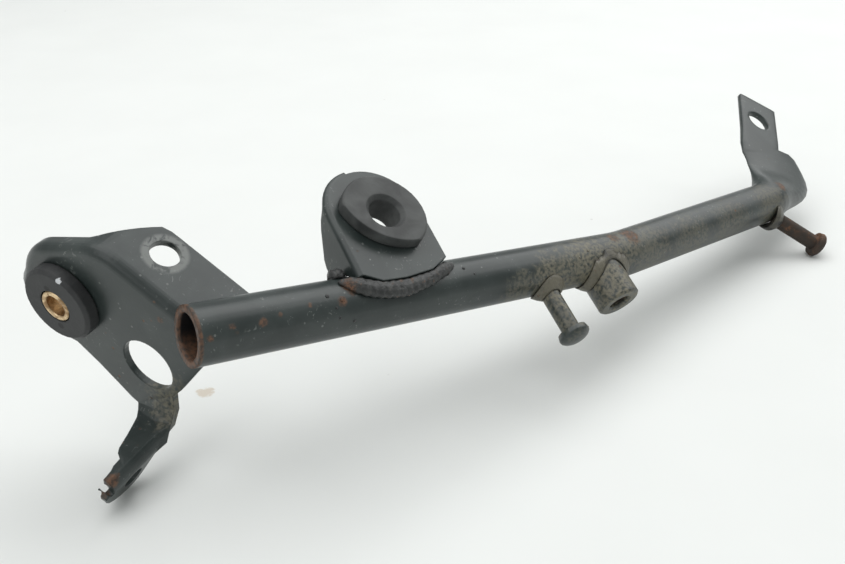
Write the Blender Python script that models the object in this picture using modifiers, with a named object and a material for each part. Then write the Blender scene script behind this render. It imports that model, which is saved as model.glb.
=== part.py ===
"""Right-hand taillight bracket: a bent tube that carries a folded side plate, an ear, two studs and a boss.

The bracket is drawn in its own frame. The tube's centreline lies in the XY plane and starts at the origin
along +X, +Y runs towards the ear and the fin, and +Z is the outer side. The side plate has a frame of its
own: X along its ridge, Y down its face, Z out of its face. A root empty stands the bracket on the floor, on
its foot tab and the head of its rear stud. Sizes are in metres.
"""

import math

import bmesh
import bpy
import numpy as np
from mathutils import Matrix, Vector

MM = 0.001
GAP = 0.3 * MM

# Tube: two runs, a gentle bend, a tight bend and a flattened end
TUBE_RADIUS = 8.0 * MM
TUBE_WALL = 1.9 * MM
RUN_1 = 149.9 * MM
BEND_1_RADIUS = 90.0 * MM
BEND_1_ANGLE = math.radians(6.53)
RUN_2 = 92.1 * MM
BEND_2_RADIUS = 29.0 * MM
BEND_2_ANGLE = math.radians(69.3)
END_RUN = 1.5 * MM
TUBE_SIDES = 32
FLAT_HALF = 1.25 * MM
INNER_SPREAD = 6.6 * MM
OUTER_SPREAD = 9.4 * MM
INNER_SPREAD_SPAN = (0.0, 0.75)
OUTER_SPREAD_SPAN = (0.2, 0.78)
INNER_CRUSH = (0.0, 0.72)
OUTER_CRUSH = (0.10, 1.05)
BORE_END = 0.45

# End tab, trimmed out of the flattened end
SHOULDER_LEFT = (0.8 * MM, 13.9 * MM)
SHOULDER_RIGHT = (2.6 * MM, 15.4 * MM)
TAB_CORNER = (3.8 * MM, 9.3 * MM)
TAB_ROOT_LEFT = (6.2 * MM, 11.7 * MM)
TAB_TURN = math.radians(-26.3)
TAB_WIDTH = 19.2 * MM
TAB_LENGTH = 28.6 * MM
TAB_HOLE_RADIUS = 5.3 * MM
TAB_HOLE_ALONG = 14.2 * MM
TAB_HOLE_ACROSS = 10.1 * MM
SHOULDER_SQUARENESS = 3.0
ROOT_SQUARENESS = 5.0
TAB_SQUARENESS = 9.0

# Side plate: its place on the tube, its outline and its folds
SHEET = 2.0 * MM
PLATE_ANGLE = math.radians(120.81)
PLATE_OFFSET = 4.51 * MM
PLATE_DROP = 2.21 * MM
FOLD_RADIUS = 3.0 * MM
FOLD_STEPS = 6
FLANGE_END = 0.1 * MM
RIDGE_START = -5.2 * MM
SHOULDER_ANGLE = math.radians(45.0)
SHOULDER_BLEND = 16.0 * MM
ROUND_END_RADIUS = 16.2 * MM
FIN_DEPTH = 19.4 * MM
FIN_CORNER = 23.2 * MM
FIN_TIP = 41.8 * MM
FIN_CORNER_RADIUS = 6.0 * MM
FLANGE_DEPTH = 5.0 * MM
FLANGE_FADE = (math.radians(0.0), math.radians(38.0))
FIN_HOLE = (20.77 * MM, 12.48 * MM)
FIN_HOLE_RADIUS = 4.14 * MM
BIG_HOLE = (8.57 * MM, 27.47 * MM)
BIG_HOLE_RADIUS = 8.28 * MM
LOWER_EDGE = ((30.5, 41.9), (22.2, 42.9), (14.3, 45.0), (9.6, 46.3))
NECK_LINE = ((7.2, 46.5), (2.9, 39.3), (-1.5, 32.1))
RIGHT_EDGE = ((-2.9, 26.8), (-3.8, 21.1), (-5.2, 12.4))

# Neck, shelf and foot tab, as stations from the plate's face outwards:
# left edge (x, y, z), right edge (y, z), turn of the fold in degrees, low edge of the tab (y)
FOOT_FACE = -6.9 * MM
NECK_STATIONS = (
    ((5.7, 46.3, 1.8), (-3.7, 36.2, 0.7), 0, 0.0),
    ((4.2, 45.8, 4.2), (-5.2, 39.4, 2.6), 0, 0.0),
    ((3.3, 45.2, 7.0), (-6.3, 40.8, 6.0), 45, 42.9),
    ((2.4, 44.8, 10.0), (-6.9, 41.2, 9.6), 90, 45.0),
    ((1.6, 44.4, 13.0), (-6.9, 41.4, 12.6), 90, 52.0),
    ((1.0, 44.0, 15.4), (-6.9, 41.5, 15.8), 90, 57.0),
    ((0.1, 43.6, 17.0), (-6.9, 41.5, 17.8), 90, 57.0),
    ((-1.5, 43.0, 18.2), (-6.9, 41.5, 19.8), 90, 57.0),
    ((-1.7, 42.8, 20.9), (-6.9, 41.5, 22.4), 90, 57.0),
    ((-2.3, 42.3, 22.6), (-6.9, 41.5, 24.2), 90, 57.0),
    ((-2.6, 41.9, 25.0), (-6.9, 41.5, 26.0), 90, 57.0),
    ((-3.0, 41.6, 34.0), (-6.9, 41.5, 34.0), 90, 57.0),
)
# The tab's trimmed outline in (y, z), from its rear low corner round the tip to its notched upper edge
FOOT_OUTLINE = (
    (53.6, 13.4),
    (54.9, 16.2),
    (54.7, 19.0),
    (53.9, 21.2),
    (52.3, 23.8),
    (49.8, 26.4),
    (46.6, 28.2),
    (44.2, 28.8),
    (43.4, 27.8),
    (44.8, 26.9),
    (44.6, 25.8),
    (40.4, 26.0),
)
# Corners that close the trim cutter outside the outline in (y, z), and its span in x
FOOT_TRIM_CORNERS = ((39.0, 36.0), (60.0, 36.0), (60.0, 11.0))
FOOT_TRIM_SPAN = (-12.0, 0.5)
FOOT_HOLE = (47.9 * MM, 17.6 * MM)
FOOT_HOLE_RADIUS = 3.3 * MM

# Rubber grommet and spacer sleeve in the side plate
GROMMET_CENTRE = (37.35 * MM, 26.53 * MM)
GROMMET_RADIUS = 11.3 * MM
GROMMET_FRONT = 4.35 * MM
GROMMET_BACK = 3.0 * MM
GROMMET_SEAT = 7.0 * MM
GROMMET_RIM = 0.9 * MM
SLEEVE_RADIUS = 4.7 * MM
SLEEVE_BORE = 3.25 * MM
SLEEVE_PROUD = 0.15 * MM
SLEEVE_EDGE = 0.35 * MM

# Ear: its place along the tube, its outline and its side flange
EAR_LEFT = 46.9 * MM
EAR_RIGHT = 77.5 * MM
EAR_TOP = 37.8 * MM
EAR_FACE = TUBE_RADIUS + GAP + SHEET
EAR_FLANGE = ((2.8, 12.3), (15.5, 12.3), (24.9, 5.1), (27.7, 1.8))
EAR_BOTTOM = ((77.4, 4.3), (70.9, 1.1), (61.4, -0.1), (53.5, 0.1))
EAR_FOLD_RADIUS = 1.65 * MM
EAR_RIM_SPAN = math.radians(78.0)
EAR_HOLE_RADIUS = 8.2 * MM

# Rubber grommet in the ear, with a flattened front
PAD_CENTRE = (62.7 * MM, 20.1 * MM)
PAD_RADIUS = 13.0 * MM
PAD_HEIGHT = 3.6 * MM
PAD_BORE = 4.85 * MM
PAD_CHAMFER = 1.25 * MM
PAD_RIM = 0.5 * MM
PAD_LOWER_RADIUS = 10.6 * MM
PAD_LOWER_HEIGHT = 3.1 * MM
PAD_FRONT_RADIUS = 17.4 * MM
PAD_FRONT_SHIFT = (5.0 * MM, 6.3 * MM)

# Studs and boss
STUD_RADIUS = 3.0 * MM
STUD_HEAD_RADIUS = 5.1 * MM
STUD_HEAD_HEIGHT = 4.0 * MM
STUD_RIM = 1.6 * MM
STUD_UNDERCUT = 0.4 * MM
FRONT_STUD_X = 116.8 * MM
FRONT_STUD_REACH = 15.0 * MM
REAR_STUD_ROOT = -1.1 * MM
REAR_STUD_LEAN = math.radians(-49.0)
REAR_STUD_REACH = 19.0 * MM
BOSS_X = 142.8 * MM
BOSS_RADIUS = 7.25 * MM
BOSS_REACH = 9.7 * MM
BOSS_BORE = 3.4 * MM
BOSS_CHAMFER = 0.7 * MM
BOSS_FLOOR = 0.8 * MM

# Rest on the floor: how far the bracket leans about its tube
REST_ROLL = math.radians(31.4)

# Weld beads
BEAD_WIDTH = 2.6 * MM
BEAD_HEIGHT = 2.4 * MM
BEAD_SINK = 1.5 * MM
SEAM_RADIUS = 2.3 * MM
SEAM_RIPPLE = 0.12
SEAM_PITCH = 1.1 * MM
FLANGE_WELD_TOP = 6.3 * MM
FLANGE_WELD_PITCH = 1.0 * MM
FLANGE_WELD_DEPTH = 0.9 * MM
PLATE_WELD_START = 3.0 * MM
PLATE_WELD_PITCH = 1.5 * MM
PLATE_WELD_SHARE = 0.8
# Seam along the ear's lower edge, as stations: centre (x, y, z), half width and half height
EAR_SEAM = (
    (41.8, 3.0, 7.2, 0.9, 0.8),
    (44.0, 1.9, 8.0, 2.1, 1.7),
    (47.0, 0.6, 8.5, 2.7, 2.0),
    (50.5, -0.6, 8.5, 2.8, 1.8),
    (54.0, -1.3, 8.4, 2.8, 1.8),
    (58.0, -1.7, 8.3, 2.9, 1.9),
    (62.0, -1.7, 8.3, 2.7, 1.8),
    (66.0, -1.2, 8.4, 2.4, 1.8),
    (70.0, -0.5, 8.5, 2.2, 1.7),
    (74.0, 0.9, 8.5, 2.1, 1.7),
    (77.5, 1.9, 8.2, 1.9, 1.5),
    (80.4, 2.7, 7.6, 0.8, 0.7),
)
ROUND_SIDES = 32


def clear_scene():
    """Removes every object that the scene starts with."""
    for obj in list(bpy.data.objects):
        bpy.data.objects.remove(obj, do_unlink=True)


def make_collection(name):
    collection = bpy.data.collections.new(name)
    bpy.context.scene.collection.children.link(collection)
    return collection


def make_material(name, colour, roughness, metallic):
    material = bpy.data.materials.new(name)
    material.use_nodes = True
    shader = material.node_tree.nodes["Principled BSDF"]
    shader.inputs["Base Color"].default_value = (*colour, 1.0)
    shader.inputs["Roughness"].default_value = roughness
    shader.inputs["Metallic"].default_value = metallic
    return material


class Workshop:
    """Holds the two collections, the frames and the materials, and makes each named object in them."""

    def __init__(self):
        self.parts = make_collection("taillight_bracket")
        self.cutters = make_collection("cutters")
        self.root = self.make_frame("bracket_frame", Matrix.Identity(4), None)
        self.plate = self.make_frame("plate_frame", plate_matrix(), self.root)
        self.finishes = {
            "paint": make_material("black_paint", (0.018, 0.021, 0.022), 0.42, 0.0),
            "rubber": make_material("black_rubber", (0.012, 0.012, 0.013), 0.72, 0.0),
            "brass": make_material("brass_plating", (0.60, 0.44, 0.22), 0.38, 1.0),
            "rusty_steel": make_material("rusty_steel", (0.11, 0.065, 0.045), 0.75, 0.3),
            "weld": make_material("painted_weld", (0.025, 0.024, 0.024), 0.50, 0.0),
        }

    def make_frame(self, name, matrix, parent):
        frame = bpy.data.objects.new(name, None)
        self.parts.objects.link(frame)
        frame.parent = parent
        frame.matrix_local = matrix
        return frame

    def add(self, name, mesh, frame, finish):
        """A part of the bracket, smooth but for its sharp edges."""
        obj = bpy.data.objects.new(name, mesh)
        self.parts.objects.link(obj)
        obj.parent = frame
        mesh.materials.append(self.finishes[finish])
        mesh.shade_smooth()
        mesh.set_sharp_from_angle(angle=math.radians(32.0))
        return obj

    def add_cutter(self, name, mesh, frame):
        obj = bpy.data.objects.new(name, mesh)
        self.cutters.objects.link(obj)
        obj.parent = frame
        obj.hide_render = True
        obj.display_type = "WIRE"
        return obj


def smooth_step(value, low, high):
    share = min(max((value - low) / (high - low), 0.0), 1.0)
    return share * share * (3.0 - 2.0 * share)


def mesh_from(name, bm):
    mesh = bpy.data.meshes.new(name)
    bm.to_mesh(mesh)
    bm.free()
    return mesh


def boolean(obj, operation, other):
    modifier = obj.modifiers.new(f"{operation.lower()}_{other.name}", "BOOLEAN")
    modifier.operation = operation
    modifier.object = other
    modifier.solver = "EXACT"


def loft(name, rings):
    """A closed body through rings of equally many points, with flat ends."""
    bm = bmesh.new()
    rows = [[bm.verts.new(point) for point in ring] for ring in rings]
    count = len(rows[0])
    for low, high in zip(rows, rows[1:]):
        for k in range(count):
            bm.faces.new((low[k], low[(k + 1) % count], high[(k + 1) % count], high[k]))
    bm.faces.new(rows[0][::-1])
    bm.faces.new(rows[-1])
    bmesh.ops.recalc_face_normals(bm, faces=bm.faces)
    return mesh_from(name, bm)


def closed_loft(name, rings):
    """A ring-shaped body: the last section joins the first."""
    bm = bmesh.new()
    rows = [[bm.verts.new(point) for point in ring] for ring in rings]
    count = len(rows[0])
    for low, high in zip(rows, rows[1:] + rows[:1]):
        for k in range(count):
            bm.faces.new((low[k], low[(k + 1) % count], high[(k + 1) % count], high[k]))
    bmesh.ops.recalc_face_normals(bm, faces=bm.faces)
    return mesh_from(name, bm)


def turned(name, profile, closed=True):
    """A mesh of a half section (radius, height) about Z, before its Screw modifier turns it."""
    bm = bmesh.new()
    verts = [bm.verts.new((radius, 0.0, height)) for radius, height in profile]
    pairs = list(zip(verts, verts[1:]))
    if closed:
        pairs.append((verts[-1], verts[0]))
    for first, second in pairs:
        bm.edges.new((first, second))
    return mesh_from(name, bm)


def spin(obj):
    """Turns a half section about its Z axis."""
    screw = obj.modifiers.new("turned", "SCREW")
    screw.steps = ROUND_SIDES
    screw.render_steps = ROUND_SIDES
    screw.use_merge_vertices = True
    screw.merge_threshold = 0.00001
    screw.use_smooth_shade = True


def cylinder(name, radius, depth, sides=ROUND_SIDES):
    bm = bmesh.new()
    bmesh.ops.create_cone(
        bm, cap_ends=True, segments=sides, radius1=radius, radius2=radius, depth=depth
    )
    return mesh_from(name, bm)


def block(name, low, high):
    """A box between two corners."""
    bm = bmesh.new()
    size = Vector(high) - Vector(low)
    centre = (Vector(high) + Vector(low)) / 2
    bmesh.ops.create_cube(bm, size=1.0, matrix=Matrix.Translation(centre) @ Matrix.Diagonal((*size, 1.0)))
    return mesh_from(name, bm)


def plate_matrix():
    """The side plate's frame: X along the ridge, Y down the face, Z out of the face."""
    along = Vector((math.cos(PLATE_ANGLE), math.sin(PLATE_ANGLE), 0.0))
    down = Vector((0.0, 0.0, -1.0))
    out = along.cross(down)
    origin = -out * PLATE_OFFSET + down * PLATE_DROP
    return Matrix.Translation(origin) @ Matrix((along, down, out)).transposed().to_4x4()


def tube_path(distance):
    """Centre and heading of the tube at a distance along its centreline."""
    pieces = (
        (RUN_1, 0.0),
        (BEND_1_RADIUS * BEND_1_ANGLE, 1.0 / BEND_1_RADIUS),
        (RUN_2, 0.0),
        (BEND_2_RADIUS * BEND_2_ANGLE, 1.0 / BEND_2_RADIUS),
        (math.inf, 0.0),
    )
    x, y, heading = 0.0, 0.0, 0.0
    for length, curvature in pieces:
        step = min(distance, length)
        turn = step * curvature
        if curvature:
            x += (math.sin(heading + turn) - math.sin(heading)) / curvature
            y += (math.cos(heading) - math.cos(heading + turn)) / curvature
        else:
            x += step * math.cos(heading)
            y += step * math.sin(heading)
        heading += turn
        distance -= step
        if distance <= 0.0:
            break
    return Vector((x, y, 0.0)), heading


def bend_2_start():
    return RUN_1 + BEND_1_RADIUS * BEND_1_ANGLE + RUN_2


def bend_2_length():
    return BEND_2_RADIUS * BEND_2_ANGLE


def section(left, right, left_half, right_half, squareness=2.0):
    """A closed oval between two edge points, whose half height runs from left_half to right_half."""
    angles = np.arange(TUBE_SIDES) * math.tau / TUBE_SIDES
    power = 2.0 / squareness
    across = np.sign(np.cos(angles)) * np.abs(np.cos(angles)) ** power
    up = np.sign(np.sin(angles)) * np.abs(np.sin(angles)) ** power
    share = 0.5 + 0.5 * across
    half = left_half * (1.0 - share) + right_half * share
    return [
        left.lerp(right, float(s)) + Vector((0.0, 0.0, float(u * h)))
        for s, u, h in zip(share, up, half)
    ]


def tube_section(distance, grow):
    """The tube's section: round on the runs, crushed flat round the tight bend, grown by grow."""
    centre, heading = tube_path(distance)
    share = (distance - bend_2_start()) / bend_2_length()
    left_spread = INNER_SPREAD * smooth_step(share, *INNER_SPREAD_SPAN)
    far_spread = OUTER_SPREAD * smooth_step(share, *OUTER_SPREAD_SPAN)
    inner = 1.0 - smooth_step(share, *INNER_CRUSH)
    outer = 1.0 - smooth_step(share, *OUTER_CRUSH)
    right = Vector((math.sin(heading), -math.cos(heading), 0.0))
    left = centre - right * (TUBE_RADIUS + left_spread + grow)
    far = centre + right * (TUBE_RADIUS + far_spread + grow)
    rounding = TUBE_RADIUS - FLAT_HALF
    return section(left, far, FLAT_HALF + rounding * inner + grow, FLAT_HALF + rounding * outer + grow)


def tube_stops(start, end_share):
    """Distances of the tube's sections from start to a share of the tight bend."""
    bend_1 = BEND_1_RADIUS * BEND_1_ANGLE
    gentle = [RUN_1 + bend_1 * k / 4 for k in range(5)]
    tight = [bend_2_start() + bend_2_length() * share for share in np.linspace(-0.1, end_share, 14)]
    return [start, *gentle, *tight]


def end_frame():
    """Point, forward and right directions where the tube's path ends."""
    point, heading = tube_path(bend_2_start() + bend_2_length() + END_RUN)
    forward = Vector((math.cos(heading), math.sin(heading), 0.0))
    right = Vector((math.sin(heading), -math.cos(heading), 0.0))
    return point, forward, right, heading


def tab_frame():
    """Concave corner of the end tab, its direction and the direction across it to the left."""
    point, forward, right, heading = end_frame()
    corner = point + forward * TAB_CORNER[0] + right * TAB_CORNER[1]
    turned_heading = heading + TAB_TURN
    along = Vector((math.cos(turned_heading), math.sin(turned_heading), 0.0))
    across = Vector((-along.y, along.x, 0.0))
    return corner, along, across


def end_tab_sections():
    """Sections of the flat end: the square shoulder, the fold and the tab itself."""
    point, forward, right, _ = end_frame()
    corner, along, across = tab_frame()
    shoulder_left = point + forward * SHOULDER_LEFT[0] - right * SHOULDER_LEFT[1]
    shoulder_right = point + forward * SHOULDER_RIGHT[0] + right * SHOULDER_RIGHT[1]
    root_left = point + forward * TAB_ROOT_LEFT[0] - right * TAB_ROOT_LEFT[1]
    half = FLAT_HALF
    rings = [
        section(shoulder_left, shoulder_right, half, half, SHOULDER_SQUARENESS),
        section(root_left, corner, half, half, ROOT_SQUARENESS),
    ]
    for distance in (0.15 * TAB_LENGTH, TAB_LENGTH):
        edge = corner + along * distance
        rings.append(section(edge + across * TAB_WIDTH, edge, half, half, TAB_SQUARENESS))
    return rings


def build_envelope(shop, name, grow, start):
    """The tube's outer form grown by grow, which neighbours are cut to."""
    rings = [tube_section(stop, grow) for stop in tube_stops(start, 1.0)]
    return shop.add_cutter(name, loft(name, rings), shop.root)


def build_tube(shop):
    rings = [tube_section(stop, 0.0) for stop in tube_stops(0.0, 1.0 + END_RUN / bend_2_length())]
    tube = shop.add("main_tube", loft("main_tube", rings + end_tab_sections()), shop.root, "paint")
    bore_rings = [tube_section(stop, -TUBE_WALL) for stop in tube_stops(-TUBE_RADIUS, BORE_END)]
    boolean(tube, "DIFFERENCE", shop.add_cutter("tube_bore", loft("tube_bore", bore_rings), shop.root))
    corner, along, across = tab_frame()
    drill = shop.add_cutter("tab_drill", cylinder("tab_drill", TAB_HOLE_RADIUS, 6 * FLAT_HALF), shop.root)
    drill.location = corner + along * TAB_HOLE_ALONG + across * TAB_HOLE_ACROSS
    boolean(tube, "DIFFERENCE", drill)


def fold_points(edge, out, back, turn, depth, radius):
    """Points across a fold, from the flat face round the bend to the flange's free edge."""
    base = edge - out * (radius * math.sin(turn))
    if turn == 0.0:
        return [base]
    angles = [turn * k / FOLD_STEPS for k in range(FOLD_STEPS + 1)]
    points = [base + out * radius * math.sin(a) + back * radius * (1.0 - math.cos(a)) for a in angles]
    straight = (depth - radius * (1.0 - math.cos(turn))) / math.sin(turn)
    points.append(points[-1] + (out * math.cos(turn) + back * math.sin(turn)) * straight)
    return points


def join_columns(bm, first, second):
    """Faces between two columns of points, one of which may be a single point."""
    if len(first) == 1 and len(second) == 1:
        return
    for k in range(max(len(first), len(second)) - 1):
        low = first[min(k, len(first) - 1)]
        high = first[min(k + 1, len(first) - 1)]
        corners = [low, high, second[min(k + 1, len(second) - 1)], second[min(k, len(second) - 1)]]
        bm.faces.new(list(dict.fromkeys(corners)))


def sheet_face(bm, columns, outline):
    """The flat face between the folds' roots and the rest of the outline, and the folds themselves."""
    rows = [[bm.verts.new(point) for point in column] for column in columns]
    border = [bm.verts.new(point) for point in outline]
    bm.faces.new([row[0] for row in rows] + border)
    for first, second in zip(rows, rows[1:]):
        join_columns(bm, first, second)
    return rows, border


def sheet_mesh(name, bm):
    """Turns the sheet's faces so that the flat face, which is made first, looks along +Z."""
    bmesh.ops.recalc_face_normals(bm, faces=bm.faces)
    bm.faces.ensure_lookup_table()
    bm.normal_update()
    if bm.faces[0].normal.z < 0.0:
        bmesh.ops.reverse_faces(bm, faces=bm.faces)
    return mesh_from(name, bm)


def thicken(obj):
    """Gives a sheet its wall, behind its visible face."""
    solidify = obj.modifiers.new("sheet", "SOLIDIFY")
    solidify.thickness = SHEET
    solidify.offset = -1.0
    solidify.use_even_offset = True


def round_end_point(angle):
    """Point and outward normal on the plate's round end, at an angle from the ridge's direction."""
    normal = Vector((math.cos(angle), math.sin(angle), 0.0))
    centre = Vector((*GROMMET_CENTRE, 0.0))
    return centre + normal * ROUND_END_RADIUS, normal


def plate_outer_curve():
    """Points and outward normals along the plate's fold: ridge, blend, shoulder line and round end."""
    tangent, _ = round_end_point(SHOULDER_ANGLE - math.pi / 2)
    meet = tangent.x - tangent.y / math.tan(SHOULDER_ANGLE)
    setback = SHOULDER_BLEND * math.tan(SHOULDER_ANGLE / 2)
    start = meet - setback
    curve = []
    for x in np.linspace(RIDGE_START, start, 12, endpoint=False):
        curve.append((Vector((x, 0.0, 0.0)), Vector((0.0, -1.0, 0.0))))
    for angle in np.linspace(0.0, SHOULDER_ANGLE, 8):
        normal = Vector((math.sin(angle), -math.cos(angle), 0.0))
        centre = Vector((start, SHOULDER_BLEND, 0.0))
        curve.append((centre + normal * SHOULDER_BLEND, normal))
    first = SHOULDER_ANGLE - math.pi / 2
    for angle in np.linspace(first, FLANGE_FADE[1], 20):
        curve.append(round_end_point(angle))
    return curve


def fin_depth(x):
    """How far the fold runs back at x: the fin with its rounded corner, then the low flange."""
    corner_share = min(max((x - FIN_CORNER) / FIN_CORNER_RADIUS, 0.0), 1.0)
    rounded = FIN_DEPTH - 0.45 * FIN_CORNER_RADIUS * (1.0 - math.sqrt(1.0 - corner_share**2))
    top_edge = (FIN_TIP - x) * FIN_DEPTH / (FIN_TIP - FIN_CORNER - 0.55 * FIN_CORNER_RADIUS)
    return max(min(rounded, top_edge), FLANGE_DEPTH)


def plate_columns():
    """Fold points all along the plate's top and round end, where the flange fades out."""
    columns = []
    back = Vector((0.0, 0.0, -1.0))
    for point, normal in plate_outer_curve():
        angle = math.atan2(point.y - GROMMET_CENTRE[1], point.x - GROMMET_CENTRE[0])
        on_round_end = point.x > GROMMET_CENTRE[0]
        fade = smooth_step(angle, *FLANGE_FADE) if on_round_end else 0.0
        if fade >= 1.0:
            columns.append(fold_points(point, normal, back, 0.0, 0.0, FOLD_RADIUS))
            continue
        turn = math.pi / 2 * (1.0 - 0.8 * fade)
        depth = fin_depth(point.x)
        bend_depth = FOLD_RADIUS * (1.0 - math.cos(turn))
        depth = bend_depth + (depth - bend_depth) * (1.0 - fade) + FLANGE_END * fade
        columns.append(fold_points(point, normal, back, turn, depth, FOLD_RADIUS))
    return columns


def foot_columns():
    """Columns across the neck and the foot: shelf left edge, shelf middle, then the fold into the tab."""
    columns = []
    out = Vector((-1.0, 0.0, 0.0))
    back = Vector((0.0, 1.0, 0.0))
    for left, right, turn, low in NECK_STATIONS:
        left_point = Vector(left) * MM
        edge = Vector(right) * MM
        depth = low * MM - edge.y
        across = fold_points(edge, out, back, math.radians(turn), depth, FOLD_RADIUS)
        columns.append([left_point, left_point.lerp(across[0], 0.5), *across])
    return columns


def add_neck(bm, previous):
    """Joins the neck, the shelf and the foot tab to the part of the plate's border that they grow from."""
    for column in foot_columns():
        row = [bm.verts.new(point) for point in column]
        for k in range(2):
            bm.faces.new((previous[k], previous[k + 1], row[k + 1], row[k]))
        join_columns(bm, previous[2:], row[2:])
        previous = row


def build_foot_trim(shop):
    """Cutter outside the foot tab's outline."""
    corners = [*FOOT_OUTLINE, *FOOT_TRIM_CORNERS]
    sides = [[Vector((x, *corner)) * MM for corner in corners] for x in FOOT_TRIM_SPAN]
    return shop.add_cutter("foot_trim", loft("foot_trim", sides), shop.plate)


DRILL_TURNS = {
    "X": (0.0, math.pi / 2, 0.0),
    "Y": (math.pi / 2, 0.0, 0.0),
    "Z": (0.0, 0.0, 0.0),
}


def plate_drill(shop, plate, name, centre, radius, axis):
    """Cuts a round hole through the plate, along one axis of its frame."""
    drill = shop.add_cutter(name, cylinder(name, radius, 4 * SHEET), shop.plate)
    drill.location = centre
    drill.rotation_euler = DRILL_TURNS[axis]
    boolean(plate, "DIFFERENCE", drill)


def build_side_plate(shop, envelope):
    bm = bmesh.new()
    round_end_low = Vector(LOWER_EDGE[0]) * MM - Vector(GROMMET_CENTRE)
    round_start = math.atan2(round_end_low.y, round_end_low.x)
    arc = [round_end_point(a)[0] for a in np.linspace(FLANGE_FADE[1], round_start, 9)[1:]]
    lower = [Vector((x, y, 0.0)) * MM for x, y in LOWER_EDGE[1:]]
    neck = [Vector((x, y, 0.0)) * MM for x, y in NECK_LINE]
    right = [Vector((x, y, 0.0)) * MM for x, y in RIGHT_EDGE]
    outline = arc + lower + neck + right
    _, border = sheet_face(bm, plate_columns(), outline)
    neck_start = len(arc) + len(lower)
    add_neck(bm, border[neck_start : neck_start + len(neck)])
    plate = shop.add("side_plate", sheet_mesh("side_plate", bm), shop.plate, "paint")
    thicken(plate)
    plate_drill(shop, plate, "big_hole", (*BIG_HOLE, 0.0), BIG_HOLE_RADIUS, "Z")
    plate_drill(shop, plate, "grommet_seat", (*GROMMET_CENTRE, 0.0), GROMMET_SEAT, "Z")
    plate_drill(shop, plate, "fin_hole", (FIN_HOLE[0], 0.0, -FIN_HOLE[1]), FIN_HOLE_RADIUS, "Y")
    plate_drill(shop, plate, "foot_hole", (FOOT_FACE, *FOOT_HOLE), FOOT_HOLE_RADIUS, "X")
    boolean(plate, "DIFFERENCE", build_foot_trim(shop))
    boolean(plate, "DIFFERENCE", envelope)


def build_side_grommet(shop):
    """Rubber grommet that grips the plate's hole, and the spacer sleeve pressed through it."""
    bore = SLEEVE_RADIUS + GAP
    groove = GROMMET_SEAT - GAP
    front, back = GROMMET_FRONT, -SHEET - GAP - GROMMET_BACK
    profile = (
        (bore, front),
        (GROMMET_RADIUS - GROMMET_RIM, front),
        (GROMMET_RADIUS, front - GROMMET_RIM),
        (GROMMET_RADIUS, GAP),
        (groove, GAP),
        (groove, -SHEET - GAP),
        (GROMMET_RADIUS - GROMMET_RIM, -SHEET - GAP),
        (GROMMET_RADIUS - 2 * GROMMET_RIM, back),
        (bore, back),
    )
    grommet = shop.add("side_grommet", turned("side_grommet", profile), shop.plate, "rubber")
    grommet.location = (*GROMMET_CENTRE, 0.0)
    spin(grommet)
    sleeve_front, sleeve_back = front + SLEEVE_PROUD, back - SLEEVE_PROUD
    sleeve_profile = (
        (SLEEVE_BORE + SLEEVE_EDGE, sleeve_front),
        (SLEEVE_RADIUS - SLEEVE_EDGE, sleeve_front),
        (SLEEVE_RADIUS, sleeve_front - SLEEVE_EDGE),
        (SLEEVE_RADIUS, sleeve_back),
        (SLEEVE_BORE, sleeve_back),
        (SLEEVE_BORE, sleeve_front - SLEEVE_EDGE),
    )
    sleeve = shop.add("grommet_sleeve", turned("grommet_sleeve", sleeve_profile), shop.plate, "brass")
    sleeve.location = (*GROMMET_CENTRE, 0.0)
    spin(sleeve)


def ear_crown():
    """Centre and radius of the ear's round top, measured to where the folds begin."""
    left = EAR_LEFT + EAR_FOLD_RADIUS
    radius = (EAR_RIGHT - left) / 2
    return Vector((left + radius, EAR_TOP - radius, 0.0)), radius


def ear_columns():
    """Fold points up the ear's left side and round its crown, where the flange fades out."""
    heights = [height * MM for height, _ in EAR_FLANGE]
    depths = [depth * MM for _, depth in EAR_FLANGE]
    back = Vector((0.0, 0.0, -1.0))
    crown, radius = ear_crown()
    columns = []
    left = Vector((-1.0, 0.0, 0.0))
    for y in np.linspace(heights[0], crown.y, 9, endpoint=False):
        edge = Vector((EAR_LEFT, float(y), 0.0))
        depth = float(np.interp(y, heights, depths))
        columns.append(fold_points(edge, left, back, math.pi / 2, depth, EAR_FOLD_RADIUS))
    for fade in np.linspace(0.0, 0.95, 12):
        angle = math.pi - EAR_RIM_SPAN * fade
        normal = Vector((math.cos(angle), math.sin(angle), 0.0))
        turn = math.pi / 2 * (1.0 - 0.85 * fade**1.5)
        edge = crown + normal * (radius + EAR_FOLD_RADIUS * math.sin(turn))
        bend_depth = EAR_FOLD_RADIUS * (1.0 - math.cos(turn))
        depth = max(float(np.interp(edge.y, heights, depths)) * (1.0 - fade), bend_depth + FLANGE_END)
        columns.append(fold_points(edge, normal, back, turn, depth, EAR_FOLD_RADIUS))
    return columns


def build_ear(shop, envelope):
    bm = bmesh.new()
    crown, radius = ear_crown()
    arc = [
        crown + Vector((math.cos(a), math.sin(a), 0.0)) * radius
        for a in np.linspace(math.pi - EAR_RIM_SPAN, 0.0, 14)
    ]
    outline = arc + [Vector((x, y, 0.0)) * MM for x, y in EAR_BOTTOM]
    sheet_face(bm, ear_columns(), outline)
    ear = shop.add("ear_bracket", sheet_mesh("ear_bracket", bm), shop.root, "paint")
    ear.location = (0.0, 0.0, EAR_FACE)
    thicken(ear)
    drill = shop.add_cutter("ear_hole", cylinder("ear_hole", EAR_HOLE_RADIUS, 4 * SHEET), shop.root)
    drill.location = (*PAD_CENTRE, EAR_FACE)
    boolean(ear, "DIFFERENCE", drill)
    boolean(ear, "DIFFERENCE", envelope)


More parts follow.
